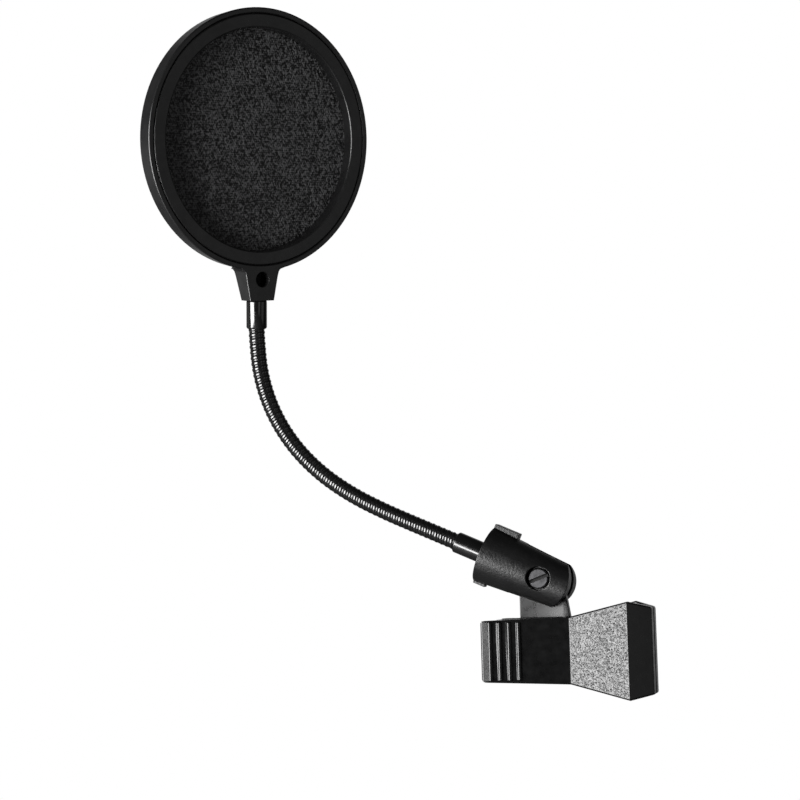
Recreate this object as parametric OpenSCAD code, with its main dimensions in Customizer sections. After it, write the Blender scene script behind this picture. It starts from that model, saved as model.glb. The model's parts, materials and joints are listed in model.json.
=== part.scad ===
// Clip-on pop filter: a round mesh screen on a gooseneck, a swivel and a spring clamp.
// Millimetres. +Z runs up the stand's pole, whose axis at mid jaw height is the origin.
// The clamp's handles point towards -X and its outer face towards -Y.

/* [Screen] */
// Outside diameter of the screen frame at its front edge
screen_d = 125.4; // [110:0.2:150]
// Thickness of the screen frame from front to back
screen_t = 10.6; // [10.4:0.1:14]
// Width of the frame between its outer edge and the mesh
frame_w = 9.7; // [8:0.1:14]
// Length of the boss that stands out below the frame
boss_l = 14.4; // [13:0.1:20]
// Width of the boss at its lower end
boss_w = 13.8; // [12.5:0.1:15]
// Angle that the screen is turned to about its boss
screen_turn = 58; // [-90:0.1:90]

/* [Gooseneck] */
// Outside diameter of the gooseneck
neck_d = 8; // [7:0.1:8.4]
// Length of the gooseneck between its two ferrules
neck_len = 152; // [120:1:200]
// Angle that the gooseneck's curve rolls about the swivel's axis
neck_roll = 11.8; // [0:0.1:30]
// Turn that the curve would reach if the gooseneck ran on
curve_turn = 96; // [20:1:110]
// Direction of the screen's boss against the swivel's axis
boss_heading = 71.6; // [20:0.1:90]

/* [Swivel] */
// Tilt of the swivel sleeve above the horizontal
sleeve_tilt = 24; // [0:1:60]
// Diameter of the sleeve at the gooseneck's end
sleeve_d = 27.2; // [24:0.1:30]
// Distance from the tilt screw to the gooseneck's end of the sleeve
sleeve_l = 30; // [28:0.5:40]

/* [Clamp] */
// Diameter of the pole that the pads grip at rest
pole_d = 16; // [14:0.5:17]
// Height of the jaws at their widest
jaw_h = 44.6; // [40:0.1:50]
// Height of the jaws at the fold between grip and jaw
fold_h = 30.9; // [30.6:0.1:36]
// Length of the handles behind the fold
handle_l = 39; // [36:0.5:50]
// Distance of the handles' ends from the middle of the clamp
handle_spread = 16.2; // [15:0.1:20]

/* [Hidden] */
$fn = 96;

// Shared by every piece
skin = 0.1;                      // gap between neighbours that don't turn against each other
run = 0.06;                      // running clearance round a turning pin
far = 100;                       // longer than any cut needs to be

// Screen
screen_r = screen_d / 2;
back_draft = 1.1;                // the frame is this much smaller in radius at its back
rim_w = 2.8;                     // the rear frame's rim, outside the front ring
chamfer = 0.5;                   // on both sides of the groove between rim and ring
back_round = 1.4;
rim_round = 0.7;
lip_round = 1.2;                 // on the front ring's edge at the mesh
mesh_inset = 0.3;                // the meshes and the spacer are this much smaller than their seat
mesh_t = 0.4;
flange_t = 2.2;                  // the rear frame's flange behind the mesh
ring_h = 6.2;                    // height of the front ring
seat_r = screen_r - rim_w;
opening_r = screen_r - frame_w;
boss_flare = 0.19;               // each side of the boss widens by this for each millimetre
boss_fillet = 2.5;
boss_end = screen_r + boss_l;    // distance of the boss's lower end from the screen's middle
boss_back_taper = 2;
stud_r = 2.5;
stud_l = 13.6;
window_r = 3.7;
window_up = 10.3;                // height of the window's centre above the boss's lower end

// Gooseneck and ferrules
neck_r = neck_d / 2;
neck_links = 8;
link_l = neck_len / neck_links;
neck_start = 45.5;               // distance from the tilt screw to the lower ferrule's mouth
curve_from = 25;                 // length along the neck at which the curve begins
curve_to = 212;                  // length at which it would have finished its turn
socket_gap = 3.5;                // the next link's mouth stands this far from the joint
socket_r = neck_r + skin;
ferrule_r = 5;
ferrule_l = 13.9;
bevel = 0.8;                     // on the ferrules' mouths
ferrule_depth = 8;               // how deep the neck sits in the lower ferrule
thread_r = 3;

// Swivel
pivot = [-38.8, 5, 34.1];
sleeve_taper = 0.066;            // loss of radius for each millimetre towards the tilt screw
ear_end_r = 14.2;                // the ears' ends are round about the tilt screw
slot_floor = 12.4;               // depth of the ears' slot above the tilt screw
tab = [4.7, 6, 12.5];            // the tab on top of the sleeve's wide end
tab_sunk = 3;                    // how much of its height lies in the sleeve
lug = [3, 5, 6];                 // the lug below it
lug_sunk = 2.2;
ferrule_sunk = 3;                // how far the lower ferrule's collar sits in the sleeve
hollow = [7.2, 10.9, 8];         // inner and outer radius and depth of the hollow in its end
tongue_t = 4;
tongue_r = 11;
washer_t = 0.55;
washer_r = 6;
slot_half = tongue_t / 2 + 0.6;
screw_r = 2.5;
head_r = 4.8;
head_t = 2.6;
head_bevel = 0.6;
head_seat = 7.6;                 // distance of the screw head's seat from the sleeve's middle
recess_r = 5.6;
screw_spare = 0.6;               // the screw's end stands this far out of its nut
drive_angle = -46;               // direction of the slot in its head
drive_w = 1.5;
drive_depth = 1.4;
nut_seat = 7.6;
nut_t = 3.6;
nut_r = 4.62;                    // half the width over the corners of an 8 mm hexagon
ferrule_nut_r = 5.77;            // the same for a 10 mm hexagon
ferrule_nut_t = 5;

// Clamp
pole_r = pole_d / 2;
pad_t = 2.2;
pad_h = 34;                      // the pads are centred on the origin
pad_half_angle = 52;
pad_fit = 0.02;
seat_wall_r = pole_r + pad_t;
fold = [-25, 5.2];
ridge = [3.6, 14];
tip_h = 39.2;
front_tip = [13.8, 8.2];
rear_tip = [13.1, 9.2];
rise = 0.35;                     // the jaws' outline stands this much above their middle
rise_back = 0.013;               // and this much more for each millimetre towards the handles' ends
handle_h = 28.1;
handle_t = 3.4;
handle_end = fold[0] - handle_l;
split = 3.2;                     // the jaws' inner faces stand this far from the middle plane
hinge_x = -21;
hinge_gap = 1.2;                 // the same near the hinge
hinge_flat = [-15, -13];         // where the inner faces step from one to the other
pin_r = 1.75;
knuckle_r = 4;
pocket_r = 4.45;
knuckle_in = [4.8, 9.3];         // heights of the rear jaw's knuckles
knuckle_out = [9.6, 14.2];       // heights of the front jaw's knuckles
side_clear = 0.2;                // between the knuckles' ends
pin_head = [2.8, 1];             // radius and thickness of the pin's head
retainer = [2.9, 0.7];           // the same for the ring on its other end
base_x = [-58.6, -25.8];         // the block below the tongue, on top of the rear handle
base_y = [2.5, 4.5, 13];         // its inner face, and its outer one at the fold and at the back
base_top = 15.9;
base_h = 6.9;
neck_in = 7;                     // the tongue's front edge starts to widen this far below the screw
coil_r = 2.65;
wire_r = 0.65;
coil_half = 4.2;
coil_clear = 0.4;
leg_z = 2.6;
leg_end = [-46, 6.9];
leg_room = [-4, 0.7, 0];         // the legs' grooves run on by this
leg_clear = 0.25;
end_flat = 2.8;                  // the handle's end is flat, along the middle plane, for this length
end_over = 0.5;
end_round = 1;
rib_r = 1;
rib_pitch = 4.25;
rib_l = handle_h - 1.4;
rib_from = 3.75;                  // distance of the first rib from the handle's end
last_rib = 3;

// --- shared shapes -------------------------------------------------------------------

function unit(v) = v / norm(v);

// Points of the arc that rounds corner b between a and c with radius r
function corner(a, b, c, r, n = 8) =
    let (u = unit(a - b), v = unit(c - b), half = acos(u * v) / 2,
         mid = b + unit(u + v) * r / sin(half), from = b + u * r / tan(half) - mid,
         turn = (u[0] * v[1] - u[1] * v[0] > 0 ? -1 : 1) * (180 - 2 * half))
    [for (k = [0:n]) let (t = turn * k / n)
        mid + [from[0] * cos(t) - from[1] * sin(t), from[0] * sin(t) + from[1] * cos(t)]];

module tube(r_out, r_in, h) {
    difference() {
        cylinder(r = r_out, h = h);
        translate([0, 0, -1]) cylinder(r = r_in, h = h + 2);
    }
}

// A round bar from a to b, both [x, y, z]
module bar(a, b, r) {
    d = b - a;
    translate(a)
        rotate([0, acos(d[2] / norm(d)), atan2(d[1], d[0])])
            cylinder(r = r, h = norm(d), $fn = 32);
}

// --- frames of reference ---------------------------------------------------------------

// +Z runs along the sleeve towards the gooseneck, +Y stays the clamp's +Y
module at_swivel() {
    translate(pivot) rotate([0, sleeve_tilt - 90, 0]) children();
}

// The gooseneck's curve lies in this frame's XZ plane
module at_neck() {
    at_swivel() rotate([0, 0, -neck_roll]) children();
}

function smooth(t) = t <= 0 ? 0 : t >= 1 ? 1 : t * t * (3 - 2 * t);
function heading(i) = curve_turn * smooth(((i + 0.5) * link_l - curve_from) / (curve_to - curve_from));
function joint(i) = i == 0 ? [0, 0, neck_start]
    : joint(i - 1) + link_l * [sin(heading(i - 1)), 0, cos(heading(i - 1))];

module at_link(i) {
    at_neck() translate(joint(i)) rotate([0, heading(i), 0]) children();
}

// Origin at the upper ferrule's mouth, +Z towards the screen
module at_upper_ferrule() {
    at_neck() translate(joint(neck_links)) rotate([0, boss_heading, 0])
        translate([0, 0, socket_gap]) children();
}

// Origin at the middle of the screen, front towards -Y, boss towards -Z
module at_screen() {
    at_upper_ferrule() rotate([0, 0, screen_turn]) translate([0, 0, ferrule_l + boss_end]) children();
}

// The same with +Z out of the front of the screen, for turned shapes
module at_screen_turned() {
    at_screen() rotate([90, 0, 0]) children();
}

// --- screen ------------------------------------------------------------------------------

module boss_outline() {
    q = sqrt(1 + boss_flare * boss_flare);
    a = boss_w / 2 + boss_fillet * q + boss_flare * boss_end;
    reach = screen_r + boss_fillet;
    b = a * boss_flare;
    root = sqrt(b * b - q * q * (a * a - reach * reach));
    mid_z = (-b - root) / (q * q);
    mid = [a + boss_flare * mid_z, mid_z];
    on_side = mid - boss_fillet * [1, -boss_flare] / q;
    on_frame = mid * screen_r / reach;
    top = screen_r - rim_w - 2;
    top_w = boss_w / 2 + boss_flare * (boss_end - top);
    polygon([[-boss_w / 2, -boss_end], [boss_w / 2, -boss_end], [top_w, -top], [-top_w, -top]]);
    for (side = [0, 1]) mirror([side, 0]) difference() {
        polygon([on_side, mid, on_frame, [on_frame[0] - 4, -top], [0, -top]]);
        translate(mid) circle(r = boss_fillet, $fn = 64);
    }
}

module rear_frame() color([0.07, 0.07, 0.075]) at_screen() difference() {
    union() {
        rotate([90, 0, 0]) rotate_extrude($fn = 180) polygon(concat(
            [[opening_r, -screen_t / 2 + flange_t], [opening_r, -screen_t / 2 + chamfer],
             [opening_r + chamfer, -screen_t / 2]],
            corner([opening_r, -screen_t / 2], [screen_r - back_draft, -screen_t / 2],
                   [screen_r, screen_t / 2], back_round),
            corner([screen_r - back_draft, -screen_t / 2], [screen_r, screen_t / 2],
                   [seat_r, screen_t / 2], rim_round),
            [[seat_r + chamfer, screen_t / 2], [seat_r, screen_t / 2 - chamfer],
             [seat_r, -screen_t / 2 + flange_t]]));
        difference() {
            translate([0, screen_t / 2, 0]) rotate([90, 0, 0])
                linear_extrude(height = screen_t) boss_outline();
            rotate([90, 0, 0]) translate([0, 0, -far / 2]) cylinder(r = seat_r + rim_w / 2, h = far);
            translate([0, screen_t / 2, -screen_r])
                rotate([-atan(boss_back_taper / boss_l), 0, 0])
                    translate([-far / 2, 0, -far]) cube([far, far, far]);
        }
    }
    translate([0, 0, -boss_end - 1]) cylinder(r = stud_r + run, h = stud_l + 1.3);
    translate([0, stud_r + 0.3, window_up - boss_end]) rotate([90, 0, 0]) cylinder(r = window_r, h = far);
}

module front_ring() color([0.06, 0.06, 0.065]) at_screen_turned()
    translate([0, 0, screen_t / 2 - ring_h]) rotate_extrude($fn = 180) polygon(concat(
        [[opening_r, 0], [seat_r - skin, 0], [seat_r - skin, ring_h - chamfer],
         [seat_r - skin - chamfer, ring_h]],
        corner([seat_r, ring_h], [opening_r, ring_h], [opening_r, 0], lip_round)));

module mesh_disc(top) at_screen_turned() translate([0, 0, screen_t / 2 - top - mesh_t])
    cylinder(r = seat_r - mesh_inset, h = mesh_t, $fn = 180);

spacer_t = screen_t - ring_h - 2 * mesh_t - flange_t;

module front_mesh() color([0.13, 0.13, 0.13]) mesh_disc(ring_h);

module mesh_spacer() color([0.05, 0.05, 0.05]) at_screen_turned()
    translate([0, 0, screen_t / 2 - ring_h - mesh_t - spacer_t])
        tube(seat_r - mesh_inset, opening_r, spacer_t, $fn = 180);

module rear_mesh() color([0.12, 0.12, 0.12]) mesh_disc(ring_h + mesh_t + spacer_t);

// --- gooseneck ------------------------------------------------------------------------------

module upper_ferrule() color([0.1, 0.1, 0.1]) at_upper_ferrule() difference() {
    union() {
        cylinder(r1 = ferrule_r - bevel, r2 = ferrule_r, h = bevel);
        translate([0, 0, bevel]) cylinder(r = ferrule_r, h = ferrule_l - bevel);
        translate([0, 0, ferrule_l]) cylinder(r = stud_r, h = stud_l);
    }
    translate([0, 0, -socket_gap]) sphere(r = socket_r);
}

// A stretch of the gooseneck: a round nose at its far end, in the next link's hollow mouth
module neck_link(i) color([0.12, 0.12, 0.12]) at_link(i) difference() {
    union() {
        translate([0, 0, i == 0 ? -ferrule_depth : socket_gap])
            cylinder(r = neck_r, h = link_l + (i == 0 ? ferrule_depth : -socket_gap));
        translate([0, 0, link_l]) sphere(r = neck_r);
    }
    if (i > 0) sphere(r = socket_r);
}

module lower_ferrule() color([0.1, 0.1, 0.1]) at_swivel() difference() {
    union() {
        translate([0, 0, slot_floor + 1])
            cylinder(r = thread_r, h = sleeve_l - ferrule_sunk - slot_floor - 1);
        translate([0, 0, sleeve_l - ferrule_sunk])
            cylinder(r = ferrule_r, h = neck_start - sleeve_l + ferrule_sunk - bevel);
        translate([0, 0, neck_start - bevel]) cylinder(r1 = ferrule_r, r2 = ferrule_r - bevel, h = bevel);
    }
    translate([0, 0, neck_start - ferrule_depth]) cylinder(r = neck_r + skin, h = far);
}

// --- swivel ------------------------------------------------------------------------------------

// A hexagon nut with its hole, standing on z = 0
module nut(r_corners, r_hole, h) {
    difference() {
        cylinder(r = r_corners, h = h, $fn = 6);
        translate([0, 0, -1]) cylinder(r = r_hole, h = h + 2, $fn = 64);
    }
}

module swivel_sleeve() color([0.09, 0.09, 0.09]) at_swivel() difference() {
    union() {
        intersection() {
            translate([0, 0, -ear_end_r])
                cylinder(r1 = sleeve_d / 2 - sleeve_taper * (sleeve_l + ear_end_r), r2 = sleeve_d / 2,
                         h = sleeve_l + ear_end_r);
            union() {
                rotate([90, 0, 0]) translate([0, 0, -far / 2]) cylinder(r = ear_end_r, h = far);
                translate([-far / 2, -far / 2, 0]) cube([far, far, sleeve_l]);
            }
        }
        translate([sleeve_d / 2 - tab_sunk, -tab[1] / 2, sleeve_l - tab[2]]) cube(tab);
        translate([-sleeve_d / 2 - lug[0] + lug_sunk, -lug[1] / 2, sleeve_l - lug[2]]) cube(lug);
    }
    translate([-far / 2, -slot_half, slot_floor - far]) cube([far, 2 * slot_half, far]);
    rotate([90, 0, 0]) translate([0, 0, -far / 2]) cylinder(r = screw_r + skin, h = far);
    rotate([90, 0, 0]) translate([0, 0, head_seat]) cylinder(r = recess_r, h = far);
    rotate([-90, 0, 0]) translate([0, 0, nut_seat]) cylinder(r = nut_r + skin, h = far, $fn = 6);
    translate([0, 0, slot_floor - 1]) cylinder(r = ferrule_nut_r + skin, h = ferrule_nut_t + 1, $fn = 6);
    cylinder(r = thread_r + skin, h = far);
    translate([0, 0, sleeve_l - ferrule_sunk]) cylinder(r = ferrule_r + skin, h = far);
    translate([0, 0, sleeve_l - hollow[2]]) tube(hollow[1], hollow[0], far);
}

module tilt_screw() color([0.3, 0.3, 0.31]) at_swivel() rotate([90, 0, 0]) difference() {
    union() {
        translate([0, 0, -nut_seat - nut_t - screw_spare])
            cylinder(r = screw_r, h = nut_seat + nut_t + screw_spare + head_seat);
        translate([0, 0, head_seat]) cylinder(r = head_r, h = head_t - head_bevel);
        translate([0, 0, head_seat + head_t - head_bevel])
            cylinder(r1 = head_r, r2 = head_r - head_bevel, h = head_bevel);
    }
    rotate([0, 0, drive_angle]) translate([-far / 2, -drive_w / 2, head_seat + head_t - drive_depth])
        cube([far, drive_w, far]);
}

module tilt_nut() color([0.3, 0.3, 0.31]) at_swivel() rotate([-90, 0, 0])
    translate([0, 0, nut_seat]) nut(nut_r, screw_r, nut_t);

module friction_washers() color([0.5, 0.48, 0.42]) at_swivel()
    for (side = [-1, 1]) translate([0, side * (slot_half - washer_t / 2) + washer_t / 2, 0])
        rotate([90, 0, 0]) tube(washer_r, screw_r + skin, washer_t);

module ferrule_nut() color([0.4, 0.4, 0.41]) at_swivel() translate([0, 0, slot_floor])
    nut(ferrule_nut_r, thread_r, ferrule_nut_t);

// --- clamp ---------------------------------------------------------------------------------------

// How far the handle's outer face stands from the clamp's middle plane at x
function outer_y(x) = handle_spread + (fold[1] - handle_spread) * (x - handle_end) / handle_l;

// Plan of one jaw with its handle; y is the distance from the clamp's middle plane
module jaw_plan(tip) {
    out = unit(fold - [handle_end, handle_spread]);
    inward = [out[1], -out[0]] * handle_t;
    end_in = [handle_end, handle_spread] + inward;
    flat_from = [handle_end + end_flat, outer_y(handle_end + end_flat)];
    flat_to = [handle_end - end_over, flat_from[1]];
    polygon(concat([flat_from],
        corner(flat_from, flat_to, end_in, end_round),
        corner(flat_to, end_in, fold + inward, end_round),
        [[fold[0] + inward[0], fold[1] + inward[1]], [fold[0] + 0.6, hinge_gap],
         [hinge_flat[0], hinge_gap], [hinge_flat[1], split], [tip[0] + 0.1, split]],
        [tip, ridge, fold]));
}

function rise_at(x) = rise - rise_back * x;

// Side of the jaws, whose height grows from the handle to the ridge
module jaw_side(tip) {
    end = [handle_end - 3, handle_h / 2];
    inner = [fold[0], fold_h / 2];
    half = concat(corner([end[0], 0], [handle_end - 0.4, handle_h / 2], inner, 2.4),
        [inner, [ridge[0], jaw_h / 2], [tip[0] + 0.6, tip_h / 2]]);
    polygon([for (v = concat(half, [for (k = [len(half) - 1:-1:0]) [half[k][0], -half[k][1]]]))
        [v[0], v[1] + rise_at(v[0])]]);
}

// One jaw on the +Y side, with pockets for the other jaw's knuckles at pocket heights
module jaw(tip, knuckles, pockets, leg) difference() {
    union() {
        difference() {
            intersection() {
                translate([0, 0, -far / 2]) linear_extrude(height = far) jaw_plan(tip);
                translate([0, far / 2, 0]) rotate([90, 0, 0]) linear_extrude(height = far) jaw_side(tip);
            }
            for (p = pockets) translate([hinge_x, 0, p[0]]) cylinder(r = pocket_r, h = p[1] - p[0]);
            translate([0, 0, -far / 2]) cylinder(r = seat_wall_r + pad_fit, h = far);
            bar([hinge_x, coil_r, leg], [leg_end[0], leg_end[1], leg] + leg_room, wire_r + leg_clear);
        }
        for (side = [-1, 1]) {
            low = min(side * knuckles[0], side * knuckles[1]);
            translate([hinge_x, 0, low]) cylinder(r = knuckle_r, h = knuckles[1] - knuckles[0]);
        }
        for (k = [0:last_rib]) {
            x = handle_end + rib_from + k * rib_pitch;
            translate([x, outer_y(x), rise_at(x) - rib_l / 2]) cylinder(r = rib_r, h = rib_l, $fn = 32);
        }
    }
    translate([hinge_x, 0, -far / 2]) cylinder(r = pin_r + run, h = far);
}

module front_jaw() color([0.08, 0.08, 0.08]) mirror([0, 1, 0])
    jaw(front_tip, knuckle_out,
        [[-knuckle_out[0], knuckle_out[0]], [knuckle_out[1], far], [-far, -knuckle_out[1]]], leg_z);

// The rear jaw carries the tongue that the swivel tilts on
module rear_jaw() color([0.08, 0.08, 0.08]) {
    past_knuckle = knuckle_in[1] + side_clear;
    difference() {
        union() {
            jaw(rear_tip, knuckle_in, [[-coil_half - coil_clear, coil_half + coil_clear],
                [past_knuckle, far], [-far, -past_knuckle]], -leg_z);
            translate([0, 0, base_top - base_h]) linear_extrude(height = base_h)
                polygon([[base_x[0], base_y[0]], [base_x[1], base_y[0]], [base_x[1], base_y[1]],
                         [base_x[0], base_y[2]]]);
            translate([0, pivot[1] + tongue_t / 2, 0]) rotate([90, 0, 0])
                linear_extrude(height = tongue_t) tongue_outline(base_top - 1);
        }
        translate([pivot[0], 0, pivot[2]]) rotate([90, 0, 0])
            translate([0, 0, -far / 2]) cylinder(r = screw_r + run, h = far);
        translate([hinge_x, 0, past_knuckle]) cylinder(r = pocket_r, h = far);
    }
}

module tongue_outline(base_z) {
    translate([pivot[0], pivot[2]]) circle(r = tongue_r);
    polygon([[pivot[0] - tongue_r, pivot[2]], [pivot[0] - tongue_r, base_z], [base_x[1], base_z],
        [pivot[0] + tongue_r, pivot[2] - neck_in], [pivot[0] + tongue_r, pivot[2]]]);
}

// A rubber lining in one jaw, seated round the pole; it is drawn on the +Y side
module pad() intersection() {
    translate([0, 0, -pad_h / 2]) tube(seat_wall_r, pole_r, pad_h);
    translate([0, 0, -far / 2]) linear_extrude(height = far)
        polygon([[0, 0], far * [sin(pad_half_angle), cos(pad_half_angle)],
                 far * [-sin(pad_half_angle), cos(pad_half_angle)]]);
}

module front_pad() color([0.05, 0.05, 0.05]) mirror([0, 1, 0]) pad();

module rear_pad() color([0.05, 0.05, 0.05]) pad();

module hinge_pin() color([0.6, 0.6, 0.6]) translate([hinge_x, 0, 0]) {
    translate([0, 0, -knuckle_out[1]]) cylinder(r = pin_r, h = 2 * knuckle_out[1] + 1);
    translate([0, 0, -knuckle_out[1] - pin_head[1]]) cylinder(r = pin_head[0], h = pin_head[1]);
}

module pin_retainer() color([0.6, 0.6, 0.6]) translate([hinge_x, 0, knuckle_out[1]])
    tube(retainer[0], pin_r, retainer[1]);

// The coil's outer shape with the two legs that push the handles apart
module jaw_spring() color([0.55, 0.55, 0.55]) {
    translate([hinge_x, 0, -coil_half]) tube(coil_r + wire_r, coil_r - wire_r, 2 * coil_half);
    for (side = [-1, 1])
        bar([hinge_x - 0.6, side * coil_r, -side * leg_z], [leg_end[0], side * leg_end[1], -side * leg_z],
            wire_r);
}

rear_jaw();
front_jaw();
rear_pad();
front_pad();
hinge_pin();
pin_retainer();
jaw_spring();
swivel_sleeve();
tilt_screw();
tilt_nut();
friction_washers();
lower_ferrule();
ferrule_nut();
neck_link(0);  // neck_link_1
neck_link(1);  // neck_link_2
neck_link(2);  // neck_link_3
neck_link(3);  // neck_link_4
neck_link(4);  // neck_link_5
neck_link(5);  // neck_link_6
neck_link(6);  // neck_link_7
neck_link(7);  // neck_link_8
upper_ferrule();
rear_frame();
front_ring();
front_mesh();
mesh_spacer();
rear_mesh();
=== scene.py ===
# Looks of the pop filter: metres, in the frame of the CAD model, with +Z up along the stand's pole.
import json
import math

import bmesh
import bpy
import numpy as np
from mathutils import Matrix, Vector
from mathutils.bvhtree import BVHTree


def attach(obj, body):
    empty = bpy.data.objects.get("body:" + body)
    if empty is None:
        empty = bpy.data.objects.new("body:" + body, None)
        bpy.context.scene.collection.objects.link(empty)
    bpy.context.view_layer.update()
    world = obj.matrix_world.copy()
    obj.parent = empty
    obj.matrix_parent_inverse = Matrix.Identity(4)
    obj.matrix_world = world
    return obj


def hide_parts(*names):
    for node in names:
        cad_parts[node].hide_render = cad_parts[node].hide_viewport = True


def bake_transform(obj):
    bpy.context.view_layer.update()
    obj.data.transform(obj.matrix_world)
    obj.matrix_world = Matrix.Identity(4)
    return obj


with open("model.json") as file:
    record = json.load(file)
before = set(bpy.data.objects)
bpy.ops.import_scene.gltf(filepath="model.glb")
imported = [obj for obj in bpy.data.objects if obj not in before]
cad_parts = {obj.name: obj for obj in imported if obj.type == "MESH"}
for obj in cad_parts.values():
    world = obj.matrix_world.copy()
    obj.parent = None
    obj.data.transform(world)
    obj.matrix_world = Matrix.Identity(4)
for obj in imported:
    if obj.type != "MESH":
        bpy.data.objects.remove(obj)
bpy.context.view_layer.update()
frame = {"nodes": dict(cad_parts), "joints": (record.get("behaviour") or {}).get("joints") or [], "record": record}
record = frame["record"]
body_of_node = {n: b for b, ns in record["behaviour"]["bodies"].items() for n in ns}
slot_of_node = {s["node"]: s["material_slot"] for s in record["subparts"]}
joint = {j["name"]: j for j in frame["joints"]}
turn_axis = Vector(joint["screen_turn"]["axis"]).normalized()

PANEL_FROM, PANEL_TO = -0.0245, 0.0036     # a jaw's slanted panel, along X
PANEL_OUT = (-0.294, 0.956)                # its normal: along X, and away from the clamp's middle plane
EDGE_OFF, FACE_OFF = 0.0045, 0.005         # its edges and faces are farther than this from that plane
HANDLE_CORNERS = -0.06                     # the short edges at a handle's end lie beyond this X
BOSS_TOP = 0.19                            # the screen's boss lies below this height
SLOT_TOP, SLOT_FLOOR = 0.0003, 0.0016      # the screw slot's faces lie between these depths in the head
HEAD_R = 0.0046                            # the slot's faces lie within this distance of the screw's axis
NECK_R = 0.004                             # outside radius of the gooseneck
PITCH = 0.00275                            # of its winding
WIDE_WIRE = 0.6                            # the thick wire's share of the pitch
STEPS, AROUND = 14, 32                     # points of the winding along a pitch and round the neck
WIRE_DEPTH = 0.0004                        # how far the thick wire's edges lie below its crest
GAP_DEPTH, GAP_EDGE = 0.00016, 0.0003      # depth of the narrow wire between, and of its edges below it
LINK = 0.019                               # from the lower ferrule's mouth to the gooseneck's first joint
RUN_IN = 0.0065                            # how far the winding runs down into the lower ferrule
FERRULE_GAP = 0.0035                       # from the last joint to the upper ferrule
SCREEN_R = 0.0592                          # radius that the screens are cut to
SIEVE = 0.00027                            # spacing of the screens' mesh points
FLOOR_R, FLOOR_Z = 1.8, -0.3
CAMERA_AT = (0.1581, -0.9159, 0.0325)
LENS = 90                                  # mm, on a 36 mm sensor


# --- materials ---------------------------------------------------------------------------------

for node in frame["nodes"].values():
    node.data.materials.clear()
for old in list(bpy.data.materials):
    bpy.data.materials.remove(old)


def ramp(nt, source, stops):
    """A colour ramp on source, from a list of (position, colour or grey)."""
    r = nt.nodes.new("ShaderNodeValToRGB")
    while len(r.color_ramp.elements) < len(stops):
        r.color_ramp.elements.new(0.5)
    for e, (at, c) in zip(r.color_ramp.elements, stops):
        e.position = at
        e.color = (*c, 1) if hasattr(c, "__len__") else (c, c, c, 1)
    nt.links.new(source, r.inputs["Fac"])
    return r.outputs["Color"]


def pattern(nt, place, kind, size, detail=4.0):
    """A noise or cell pattern whose features are about size metres."""
    if kind == "noise":
        t = nt.nodes.new("ShaderNodeTexNoise")
        t.inputs["Detail"].default_value = detail
        t.inputs["Scale"].default_value = 0.5 / size
        nt.links.new(place, t.inputs["Vector"])
        return t.outputs["Fac"]
    t = nt.nodes.new("ShaderNodeTexVoronoi")
    t.feature = "SMOOTH_F1" if kind == "pebbles" else "DISTANCE_TO_EDGE"
    if kind == "pebbles":
        t.inputs["Smoothness"].default_value = 0.35
    t.inputs["Scale"].default_value = 1 / size
    nt.links.new(place, t.inputs["Vector"])
    return t.outputs["Distance"]


def material(name, colour, rough, metallic=0.0, spec=0.5, grain=(), mottle=0.25, wear=0.05,
             mottle_size=0.006, yarn_gap_shade=None):
    """Procedural finish: mottled colour, uneven roughness, grain in layers of (kind, size, strength, depth).

    With a knit, the colour is scaled by stitch height, from the first share of it in the gaps between its threads
    to the second on the threads: the dark gaps are painted shade.
    """
    m = bpy.data.materials.new(name)
    m.use_nodes = True
    nt = m.node_tree
    b = nt.nodes["Principled BSDF"]
    tc = nt.nodes.new("ShaderNodeTexCoord")
    place = tc.outputs["Object"]
    b.inputs["Metallic"].default_value = metallic
    b.inputs["Specular IOR Level"].default_value = spec
    dark = [c * (1 - mottle) for c in colour]
    light = [c * (1 + mottle) for c in colour]
    tint = ramp(nt, pattern(nt, place, "noise", mottle_size), [(0.3, dark), (0.7, light)])
    # painted shade: the knit's colour is darkened in the low gaps between its stitches
    if yarn_gap_shade:
        height = nt.nodes.new("ShaderNodeAttribute")
        height.attribute_name = "yarn_gap_shade"
        times = nt.nodes.new("ShaderNodeMix")
        times.data_type = "RGBA"
        times.blend_type = "MULTIPLY"
        times.clamp_result = False
        times.inputs["Factor"].default_value = 1.0
        nt.links.new(tint, times.inputs["A"])
        shares = [(0.25, yarn_gap_shade[0] / 2), (0.75, yarn_gap_shade[1] / 2)]
        nt.links.new(ramp(nt, height.outputs["Fac"], shares), times.inputs["B"])
        tint = times.outputs["Result"]
    nt.links.new(tint, b.inputs["Base Color"])
    polish = ramp(nt, pattern(nt, place, "noise", 0.0016, 6), [(0.3, rough - wear), (0.7, rough + wear)])
    nt.links.new(polish, b.inputs["Roughness"])
    normal = None
    for kind, size, strength, depth in grain:
        bump = nt.nodes.new("ShaderNodeBump")
        bump.inputs["Strength"].default_value = strength
        bump.inputs["Distance"].default_value = depth
        nt.links.new(pattern(nt, place, kind, size), bump.inputs["Height"])
        if normal:
            nt.links.new(normal, bump.inputs["Normal"])
        normal = bump.outputs["Normal"]
    if normal:
        nt.links.new(normal, b.inputs["Normal"])
    return m


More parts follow.
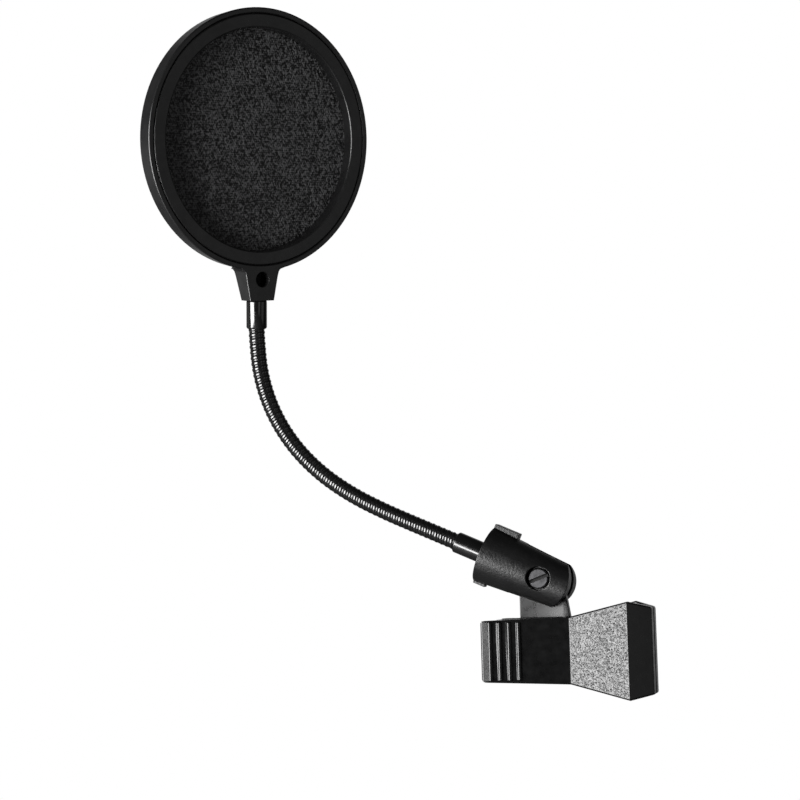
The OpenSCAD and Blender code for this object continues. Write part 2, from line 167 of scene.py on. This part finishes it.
MATS = {
    "clamp_plastic": material("clamp_plastic", (0.0022, 0.0022, 0.0023), 0.3,
                              grain=[("noise", 0.0005, 0.2, 0.00003)]),
    "sleeve_plastic": material("sleeve_plastic", (0.004, 0.004, 0.0041), 0.35,
                               grain=[("noise", 0.0005, 0.9, 0.00012), ("noise", 0.003, 0.1, 0.0001)]),
    "frame_plastic": material("frame_plastic", (0.007, 0.007, 0.0072), 0.3,
                              grain=[("noise", 0.0006, 0.12, 0.00002)]),
    # the mesh screens get painted shade in the gaps between their stitches
    "nylon_mesh": material("nylon_mesh", (0.1, 0.1, 0.102), 0.6, spec=0.4,
                           grain=[("noise", 0.00025, 0.5, 0.00005)], mottle=0.1, yarn_gap_shade=(0.0, 2.0)),
    "black_steel": material("black_steel", (0.003, 0.003, 0.003), 0.16, spec=0.85,
                            grain=[("noise", 0.0015, 0.06, 0.00003)]),
    "gooseneck_steel": material("gooseneck_steel", (0.003, 0.003, 0.003), 0.17, spec=0.85,
                                grain=[("noise", 0.0008, 0.1, 0.00002)], wear=0.06),
    "dark_steel": material("dark_steel", (0.05, 0.05, 0.052), 0.5, metallic=1.0,
                           grain=[("noise", 0.0005, 0.25, 0.00003)], mottle=0.35, mottle_size=0.0015),
    "bright_steel": material("bright_steel", (0.5, 0.5, 0.51), 0.3, metallic=1.0,
                             grain=[("noise", 0.0004, 0.2, 0.00002)]),
    "spring_steel": material("spring_steel", (0.42, 0.42, 0.43), 0.28, metallic=1.0,
                             grain=[("noise", 0.0004, 0.15, 0.00002)]),
    "rubber": material("rubber", (0.012, 0.012, 0.012), 0.75, spec=0.35,
                       grain=[("noise", 0.0005, 0.5, 0.00005)]),
    "fibre": material("fibre", (0.3, 0.25, 0.17), 0.8, spec=0.3,
                      grain=[("noise", 0.0004, 0.6, 0.00005)], mottle=0.3, mottle_size=0.0012),
}
leather = material("leather_grain", (0.0022, 0.0022, 0.0023), 0.27, spec=0.57,
                   grain=[("pebbles", 0.0008, 0.9, 0.00025), ("noise", 0.0004, 0.8, 0.00013)])
# painted shade for the screw head's slot: a darker metal where the slot lies in shade
slot_painted_shade = material("screw_slot", (0.012, 0.012, 0.012), 0.7, metallic=0.6,
                 grain=[("noise", 0.0003, 0.6, 0.00004)])

for name, node in frame["nodes"].items():
    node.data.materials.append(MATS[slot_of_node[name]])


# --- pieces --------------------------------------------------------------------------------------

def add(name, points, faces, mat, smooth=35):
    """A mesh object with smooth faces, creased where they meet at more than smooth degrees."""
    me = bpy.data.meshes.new(name)
    me.from_pydata([tuple(p) for p in points], [], [tuple(f) for f in faces])
    me.validate()
    me.materials.append(mat)
    o = bpy.data.objects.new(name, me)
    bpy.context.scene.collection.objects.link(o)
    shade(me, smooth)
    return o


def shade(me, angle, turn_out=True):
    """Smooth faces, with a crease wherever two of them meet at more than angle."""
    bm = bmesh.new()
    bm.from_mesh(me)
    if turn_out:
        bmesh.ops.recalc_face_normals(bm, faces=bm.faces)
    for e in bm.edges:
        e.smooth = len(e.link_faces) != 2 or e.calc_face_angle(0) < math.radians(angle)
    for f in bm.faces:
        f.smooth = True
    bm.to_mesh(me)
    bm.free()


def weld(o):
    """Joins the points that lie on each other."""
    bm = bmesh.new()
    bm.from_mesh(o.data)
    bmesh.ops.remove_doubles(bm, verts=bm.verts, dist=1e-6)
    bm.to_mesh(o.data)
    bm.free()
    return o


def ring_frame(tangent, side):
    """Two unit vectors across tangent, turned as little as may be from side."""
    u = (side - tangent * side.dot(tangent)).normalized()
    return u, tangent.cross(u)


def across(u, w, j, around):
    """Unit vector of the point j of around, in the circle of u and w."""
    a = 2 * math.pi * j / around
    return u * math.cos(a) + w * math.sin(a)


def closed_rings(rows, around):
    """Faces between rows of around points each, with both ends closed."""
    faces = []
    for i in range(rows - 1):
        for j in range(around):
            p, q = i * around + j, i * around + (j + 1) % around
            faces.append((p, q, q + around, p + around))
    return faces + [tuple(range(around)), tuple(range((rows - 1) * around, rows * around))]


def screw_rows(rows, around):
    """Faces between rows that end a row further on than they start, as a thread does."""
    return [(p, p + 1, p + around + 2, p + around + 1)
            for i in range(rows) for p in range(i * (around + 1), i * (around + 1) + around)]


def stand_for(o, node):
    """o takes the CAD node's place and body, and the node is hidden."""
    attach(o, body_of_node[node])
    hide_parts(node)
    return o


def panel_edge(edge, middle):
    """Whether an edge is an upper or lower one of a jaw's panel or tip."""
    tops = [abs(f.normal.z) > 0.85 for f in edge.link_faces]
    return tops[0] != tops[1] and middle.x > PANEL_FROM and abs(middle.y) > EDGE_OFF


def boss_edge(edge, middle):
    """Whether an edge is one of the four that run down the screen's boss."""
    along_boss = (edge.verts[1].co - edge.verts[0].co).normalized().dot(turn_axis)
    return abs(along_boss) > 0.9 and edge.calc_length() > 0.003 and middle.z < BOSS_TOP


def soften(node, width, wide=0.0, where=None, min_angle=32):
    """A copy of a CAD node's shape, its sharp edges rounded off by width, as moulded or turned edges are.

    The edges that where picks out are rounded off by wide, and those at a handle's end only a little.
    """
    src = frame["nodes"][node].data
    bm = bmesh.new()
    for v in src.vertices:
        bm.verts.new(v.co)
    bm.verts.ensure_lookup_table()
    for p in src.polygons:
        try:
            bm.faces.new([bm.verts[i] for i in p.vertices])
        except ValueError:
            pass
    bmesh.ops.remove_doubles(bm, verts=bm.verts, dist=2e-6)
    bmesh.ops.dissolve_degenerate(bm, edges=bm.edges, dist=4e-5)
    bmesh.ops.dissolve_limit(bm, angle_limit=math.radians(0.4), verts=bm.verts, edges=bm.edges,
                             use_dissolve_boundaries=False)
    most = max(width, wide)
    weight = bm.edges.layers.float.new("bevel_weight_edge")
    for e in bm.edges:
        if len(e.link_faces) != 2 or not math.radians(min_angle) < e.calc_face_angle(0) < math.radians(150):
            continue
        middle = (e.verts[0].co + e.verts[1].co) / 2
        e[weight] = width / most * (0.2 if where is panel_edge and middle.x < HANDLE_CORNERS else 1)
        if where and where(e, middle):
            e[weight] = 1
    surface = BVHTree.FromBMesh(bm)
    me = bpy.data.meshes.new(node + "_body")
    bm.to_mesh(me)
    bm.free()
    me.materials.append(MATS[slot_of_node[node]])
    o = bpy.data.objects.new(node + "_body", me)
    bpy.context.scene.collection.objects.link(o)
    bevel = o.modifiers.new("edges", "BEVEL")
    bevel.width = most
    bevel.segments = 3
    bevel.limit_method = "WEIGHT"
    bevel.use_clamp_overlap = False
    bevel.miter_outer = "MITER_ARC"
    apply_modifiers(o)
    for v in o.data.vertices:
        # where short edges meet, a corner of the rounding can end off the piece, and goes back to its surface
        near, out, _, away = surface.find_nearest(v.co)
        if away > 0.75 * most or (away > 1e-5 and (v.co - near).dot(out) > 0.5 * away):
            v.co = near
    shade(o.data, 40, turn_out=False)
    weigh = o.modifiers.new("normals", "WEIGHTED_NORMAL")
    weigh.keep_sharp = True
    weigh.weight = 80
    return stand_for(o, node)


def apply_modifiers(o):
    dg = bpy.context.evaluated_depsgraph_get()
    me = bpy.data.meshes.new_from_object(o.evaluated_get(dg))
    o.modifiers.clear()
    old = o.data
    o.data = me
    bpy.data.meshes.remove(old)


soft = {n: soften(n, *w) for n, w in {
    "rear_jaw": (0.0004, 0.0009, panel_edge), "front_jaw": (0.0004, 0.0009, panel_edge),
    "swivel_sleeve": (0.00035,), "tilt_screw": (0.00015,), "rear_frame": (0.00025, 0.001, boss_edge),
    "front_ring": (0.0002,), "tilt_nut": (0.0002,), "ferrule_nut": (0.0002,), "hinge_pin": (0.0002,),
    "rear_pad": (0.0003,), "front_pad": (0.0003,), "lower_ferrule": (0.0002,)}.items()}

# the slanted jaw panels have leather grain
for name, side in (("front_jaw", -1), ("rear_jaw", 1)):
    me = soft[name].data
    me.materials.append(leather)
    out = Vector((PANEL_OUT[0], side * PANEL_OUT[1], 0))
    for p in me.polygons:
        if p.normal.dot(out) > 0.99 and PANEL_FROM < p.center.x < PANEL_TO and abs(p.center.y) > FACE_OFF:
            p.material_index = 1

# painted shade: the faces in the screw head's slot get a darker, duller metal, standing in for the shade in the
# deep narrow slot
me = soft["tilt_screw"].data
me.materials.append(slot_painted_shade)
screw_lo = min(v.co.y for v in me.vertices)
screw_x, _, screw_z = joint["sleeve_tilt"]["pos_m"]
for p in me.polygons:
    off_axis = math.hypot(p.center.x - screw_x, p.center.z - screw_z)
    if screw_lo + SLOT_TOP < p.center.y < screw_lo + SLOT_FLOOR and off_axis < HEAD_R:
        p.material_index = 1


# --- gooseneck ------------------------------------------------------------------------------------

pivots = [Vector(joint[n]["pos_m"]) for n in sorted((n for n in joint if n.startswith("neck_")),
                                                    key=lambda n: int(n[-1]))]
sleeve_axis = (pivots[0] - Vector(joint["sleeve_tilt"]["pos_m"])).normalized()
mouth_low = pivots[0] - sleeve_axis * LINK
mouth_high = pivots[-1] + turn_axis * FERRULE_GAP
knots = [mouth_low] + pivots + [mouth_high]
mids = [(pivots[k] + pivots[k + 1]) / 2 for k in range(7)]
starts = [(mouth_low + pivots[0]) / 2] + mids
ends = mids + [mouth_high]

line, stations = [], []                    # fine centre line, and which joint's stretch a point is in
for t in np.linspace(-RUN_IN, (starts[0] - mouth_low).length, 60)[:-1]:
    line.append(mouth_low + sleeve_axis * t)
    stations.append(0)
for k in range(8):
    a, b, c = starts[k], pivots[k], ends[k]
    for t in np.linspace(0, 1, 80)[:-1]:
        line.append(a * (1 - t) ** 2 + b * 2 * t * (1 - t) + c * t * t)
        stations.append(k + 1)
line.append(mouth_high)
stations.append(8)
line = np.array([list(p) for p in line])
along = np.concatenate([[0], np.cumsum(np.linalg.norm(np.diff(line, axis=0), axis=1))])
total = along[-1]


def on_line(s):
    """The point at s metres along the centre line."""
    s = min(max(s, 0), total)
    return Vector([float(np.interp(s, along, line[:, k])) for k in range(3)])


def heading_at(s):
    """The centre line's direction there."""
    return (on_line(s + 0.0008) - on_line(s - 0.0008)).normalized()


def winding(u):
    """Radius across one pitch of the winding, u from 0 to 1: a thick round wire, then a narrow one."""
    if u < WIDE_WIRE:
        x = (u / WIDE_WIRE - 0.5) * 2
        return NECK_R - WIRE_DEPTH * (1 - math.sqrt(max(0, 1 - 0.96 * x * x)))
    x = ((u - WIDE_WIRE) / (1 - WIDE_WIRE) - 0.5) * 2
    return NECK_R - GAP_DEPTH - GAP_EDGE * abs(x) ** 1.5


n_rows = int(total / PITCH * STEPS)
side = Vector((0, 1, 0))
frames = []
for i in range(n_rows + STEPS + 1):
    side, w = ring_frame(heading_at(min(i * PITCH / STEPS, total - 0.0002)), side)
    frames.append((side, w))


def winding_piece(name, first, last):
    """Rows first to last of the winding; row i starts at i steps along and climbs a pitch once round."""
    pts = []
    for i in range(first, last + 1):
        for j in range(AROUND + 1):
            s = min((i + STEPS * j / AROUND) * PITCH / STEPS, total)
            u, w = frames[min(int(s / PITCH * STEPS), len(frames) - 1)]
            pts.append(on_line(s) + across(u, w, j, AROUND) * winding((i % STEPS) / STEPS))
    return weld(add(name, pts, screw_rows(last - first, AROUND), MATS["gooseneck_steel"], smooth=50))


cuts = [0]
for k in range(8):
    cuts.append(int(round(along[stations.index(k + 1)] / PITCH * STEPS)) - STEPS // 2)
cuts.append(n_rows)
neck = winding_piece("neck_winding_0", cuts[0], cuts[1])
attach(neck, "swivel")
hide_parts("neck_link_1")
for k in range(8):
    o = winding_piece(f"neck_winding_{k + 1}", cuts[k + 1], cuts[k + 2])
    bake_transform(o)
    if k < 7:
        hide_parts(f"neck_link_{k + 2}")


# --- turned and threaded parts -----------------------------------------------------------------------

def lathe(name, origin, axis, profile, mat, around=64):
    """Turned shape about axis from a list of (distance along it, radius)."""
    u, w = ring_frame(axis, Vector((0.3, 1, 0.2)))
    pts = [origin + axis * z + across(u, w, j, around) * r for z, r in profile for j in range(around)]
    return add(name, pts, closed_rings(len(profile), around), mat)


def rod_thread(name, origin, axis, r, depth, pitch, length, mat, steps=8, around=36):
    """A threaded rod from origin along axis, its crests at r."""
    u, w = ring_frame(axis, Vector((0.3, 1, 0.2)))
    pts = []
    rows = int((length / pitch - 1) * steps)
    for i in range(rows + 1):
        x = abs((i % steps) / steps - 0.5) * 2
        rr = r - depth * min(1, max(0, (1 - x) * 1.25 - 0.12))
        for j in range(around + 1):
            z = (i / steps + j / around) * pitch
            pts.append(origin + axis * z + across(u, w, j, around) * rr)
    tip = len(pts)
    pts.append(origin + axis * length)
    end = [(p, p + 1, tip) for p in range(rows * (around + 1), rows * (around + 1) + around)]
    return weld(add(name, pts, screw_rows(rows, around) + end, mat, smooth=25))


ferrule = lathe("upper_ferrule_body", mouth_high, turn_axis,
                [(0.0, 0.0036), (0.0, 0.0042), (0.0002, 0.00455), (0.0005, 0.00482), (0.0009, 0.005),
                 (0.0129, 0.005), (0.0134, 0.00494), (0.0137, 0.00478), (0.0139, 0.0045), (0.0139, 0.0026)],
                MATS["black_steel"])
stand_for(ferrule, "upper_ferrule")
stud = rod_thread("upper_ferrule_thread", mouth_high + turn_axis * 0.0138, turn_axis, 0.00248, 0.00045,
                  0.0008, 0.0136, MATS["dark_steel"])
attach(stud, "neck_top")


# --- jaw spring ----------------------------------------------------------------------------------------

hinge = Vector(joint["jaw_hinge"]["pos_m"])
COIL_R, WIRE_R, LEG_Z, LEG = 0.00265, 0.00065, 0.0026, Vector((-0.046, 0.0069, 0))
TURNS = 3.5
path = [Vector((LEG.x, -LEG.y, LEG_Z)), Vector((hinge.x - 0.0006, -COIL_R, LEG_Z))]
for i in range(int(TURNS * 24) + 1):
    t = i / 24
    a = math.radians(-90 + 360 * t)
    z = LEG_Z - 2 * LEG_Z * t / TURNS
    path.append(Vector((hinge.x + COIL_R * math.cos(a), COIL_R * math.sin(a), z)))
path += [Vector((hinge.x - 0.0006, COIL_R, -LEG_Z)), Vector((LEG.x, LEG.y, -LEG_Z))]


def tube(name, path, r, mat, around=14):
    """A round wire of radius r along path."""
    pts = []
    u = Vector((0, 0, 1))
    for i, p in enumerate(path):
        d = (path[min(i + 1, len(path) - 1)] - path[max(i - 1, 0)]).normalized()
        u, w = ring_frame(d, u)
        pts += [p + across(u, w, j, around) * r for j in range(around)]
    return add(name, pts, closed_rings(len(path), around), mat)


spring = tube("jaw_spring_wire", path, WIRE_R, MATS["spring_steel"])
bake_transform(spring)
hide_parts("jaw_spring")


# --- mesh screens ----------------------------------------------------------------------------------------

def disc_axes(node):
    """Centre and unit normal of a thin flat disc node."""
    co = np.array([v.co for v in frame["nodes"][node].data.vertices], float)
    c = (co.min(0) + co.max(0)) / 2
    n = np.linalg.svd(co - co.mean(0), full_matrices=False)[2][2]
    return Vector(c), Vector(n).normalized()


def knit(name, node, away):
    """A stretched knitted screen in the CAD disc's place, bulging its stitches away from the other one."""
    c, n = disc_axes(node)
    if n.dot(away) < 0:
        n = -n
    x = turn_axis.cross(n).normalized()
    half = 0.0002
    count = int(SCREEN_R / SIEVE)
    rng = np.random.default_rng(7 if node == "front_mesh" else 8)
    g = np.arange(-count, count + 1) * SIEVE
    gx, gz = np.meshgrid(g, g, indexing="ij")
    inside = gx ** 2 + gz ** 2 < SCREEN_R ** 2

    def blur(a, times):
        for _ in range(times):
            a = (a + np.roll(a, 1, 0) + np.roll(a, -1, 0) + np.roll(a, 1, 1) + np.roll(a, -1, 1)) / 5
        return a / a.std()

    drift_x, drift_z = (blur(rng.standard_normal(gx.shape), 60) for _ in range(2))
    px, pz = 0.00125, 0.00105              # widths of a stitch
    ax = 2 * math.pi * (gx + 0.00010 * drift_x) / px
    az = 2 * math.pi * (gz + 0.00010 * drift_z) / pz
    slub = blur(rng.standard_normal(gx.shape), 2)
    stitch = 0.35 * np.cos(ax + 0.5 * az) + 0.35 * np.cos(az - 0.35 * np.sin(ax)) + 0.7 * slub
    relief = half + 0.0001 * np.clip(stitch, -1.6, 1.6)
    index = -np.ones(gx.shape, int)
    index[inside] = np.arange(inside.sum())
    c, n, x, up = (np.array(v) for v in (c, n, x, turn_axis))
    flat = c + gx[inside][:, None] * x + gz[inside][:, None] * up
    flat = flat - ((flat - c) @ n)[:, None] * n
    front = flat + relief[inside][:, None] * n
    quads = np.stack([index[:-1, :-1], index[1:, :-1], index[1:, 1:], index[:-1, 1:]], -1).reshape(-1, 4)
    quads = quads[(quads >= 0).all(1)]
    me = bpy.data.meshes.new(name)
    me.vertices.add(len(front))
    me.vertices.foreach_set("co", front.astype(np.float32).ravel())
    me.loops.add(quads.size)
    me.loops.foreach_set("vertex_index", quads.ravel().astype(np.int32))
    me.polygons.add(len(quads))
    me.polygons.foreach_set("loop_start", np.arange(0, quads.size, 4, dtype=np.int32))
    me.polygons.foreach_set("loop_total", np.full(len(quads), 4, np.int32))
    me.update(calc_edges=True)
    me.polygons.foreach_set("use_smooth", np.ones(len(quads), bool))
    # stitch height, which the mesh material turns into painted shade in the gaps between stitches
    thread = me.attributes.new("yarn_gap_shade", "FLOAT", "POINT")
    thread.data.foreach_set("value", (0.45 + 0.3 * stitch[inside]).astype(np.float32))
    me.materials.append(MATS["nylon_mesh"])
    o = bpy.data.objects.new(name, me)
    bpy.context.scene.collection.objects.link(o)
    stand_for(o, node)


front_c, _ = disc_axes("front_mesh")
rear_c, _ = disc_axes("rear_mesh")
outward = (front_c - rear_c).normalized()
knit("front_screen", "front_mesh", outward)
knit("rear_screen", "rear_mesh", -outward)


# --- camera, light, floor -----------------------------------------------------------------------------------

AZIMUTH, UPWARD, ROLL = math.radians(16), math.radians(5.3), math.radians(1.5)
ahead = Vector((-math.sin(AZIMUTH) * math.cos(UPWARD), math.cos(AZIMUTH) * math.cos(UPWARD),
                math.sin(UPWARD)))
level = Vector((math.cos(AZIMUTH), math.sin(AZIMUTH), 0))
upright = level.cross(ahead)
right = level * math.cos(ROLL) - upright * math.sin(ROLL)
above = upright * math.cos(ROLL) + level * math.sin(ROLL)
camera = bpy.data.objects.new("camera", bpy.data.cameras.new("camera"))
bpy.context.scene.collection.objects.link(camera)
camera.data.sensor_width = 36
camera.data.lens = LENS
camera.matrix_world = Matrix([(right[k], above[k], -ahead[k], CAMERA_AT[k]) for k in range(3)] + [(0, 0, 0, 1)])
camera.data.clip_start = 0.01
camera.data.clip_end = 100
bpy.context.scene.camera = camera


def softbox(name, azimuth, elevation, distance, width, height, watts, at=(-0.07, 0, 0.12)):
    """A soft rectangular light that looks at the object; azimuth 0 is in front of it, and 90 on its right."""
    light = bpy.data.lights.new(name, "AREA")
    light.shape = "RECTANGLE"
    light.size, light.size_y, light.energy = width, height, watts
    o = bpy.data.objects.new(name, light)
    bpy.context.scene.collection.objects.link(o)
    a, e = math.radians(azimuth), math.radians(elevation)
    towards = Vector((math.sin(a) * math.cos(e), -math.cos(a) * math.cos(e), math.sin(e)))
    o.location = Vector(at) + distance * towards
    o.rotation_mode = "QUATERNION"
    o.rotation_quaternion = (Vector(at) - o.location).to_track_quat("-Z", "Y")
    o.visible_camera = False


softbox("key", -39, -7, 0.8, 0.55, 0.6, 18)
softbox("side", -95, -12, 1.0, 0.5, 0.9, 0.35)
softbox("fill", 45, 5, 1.0, 0.4, 1.0, 0.5)
softbox("right", 90, -5, 1.0, 0.6, 1.0, 0.5)

# the camera sees a white background, and the object's gloss reflects a dark one that is light behind it
world = bpy.data.worlds.new("studio")
bpy.context.scene.world = world
world.use_nodes = True
nt = world.node_tree
background = nt.nodes["Background"]
tc = nt.nodes.new("ShaderNodeTexCoord")
dot = nt.nodes.new("ShaderNodeVectorMath")
dot.operation = "DOT_PRODUCT"
dot.inputs[1].default_value = (-0.15, 0.95, 0.25)
nt.links.new(tc.outputs["Generated"], dot.inputs[0])
around = ramp(nt, dot.outputs["Value"], [(0.75, 0.035), (1.0, 0.6)])
path_kind = nt.nodes.new("ShaderNodeLightPath")
mix = nt.nodes.new("ShaderNodeMix")
mix.data_type = "RGBA"
mix.inputs["B"].default_value = (1, 1, 1, 1)
nt.links.new(path_kind.outputs["Is Camera Ray"], mix.inputs["Factor"])
nt.links.new(around, mix.inputs["A"])
nt.links.new(mix.outputs["Result"], background.inputs["Color"])
background.inputs["Strength"].default_value = 1.0

floor_mat = bpy.data.materials.new("floor")
floor_mat.use_nodes = True
nt = floor_mat.node_tree
shader = nt.nodes["Principled BSDF"]
shader.inputs["Base Color"].default_value = (0.15, 0.15, 0.15, 1)
shader.inputs["Roughness"].default_value = 0.8
shader.inputs["Emission Color"].default_value = (1, 1, 1, 1)
seen = nt.nodes.new("ShaderNodeLightPath")
lit = nt.nodes.new("ShaderNodeMath")
lit.operation = "MULTIPLY"
lit.inputs[1].default_value = 0.92
nt.links.new(seen.outputs["Is Camera Ray"], lit.inputs[0])
nt.links.new(lit.outputs[0], shader.inputs["Emission Strength"])
turns = [2 * math.pi * k / 96 for k in range(96)]
rim = [(FLOOR_R * math.cos(a), FLOOR_R * math.sin(a), FLOOR_Z) for a in turns]
floor = add("floor", rim, [tuple(range(96))], floor_mat)

bpy.context.scene.view_settings.view_transform = "Standard"
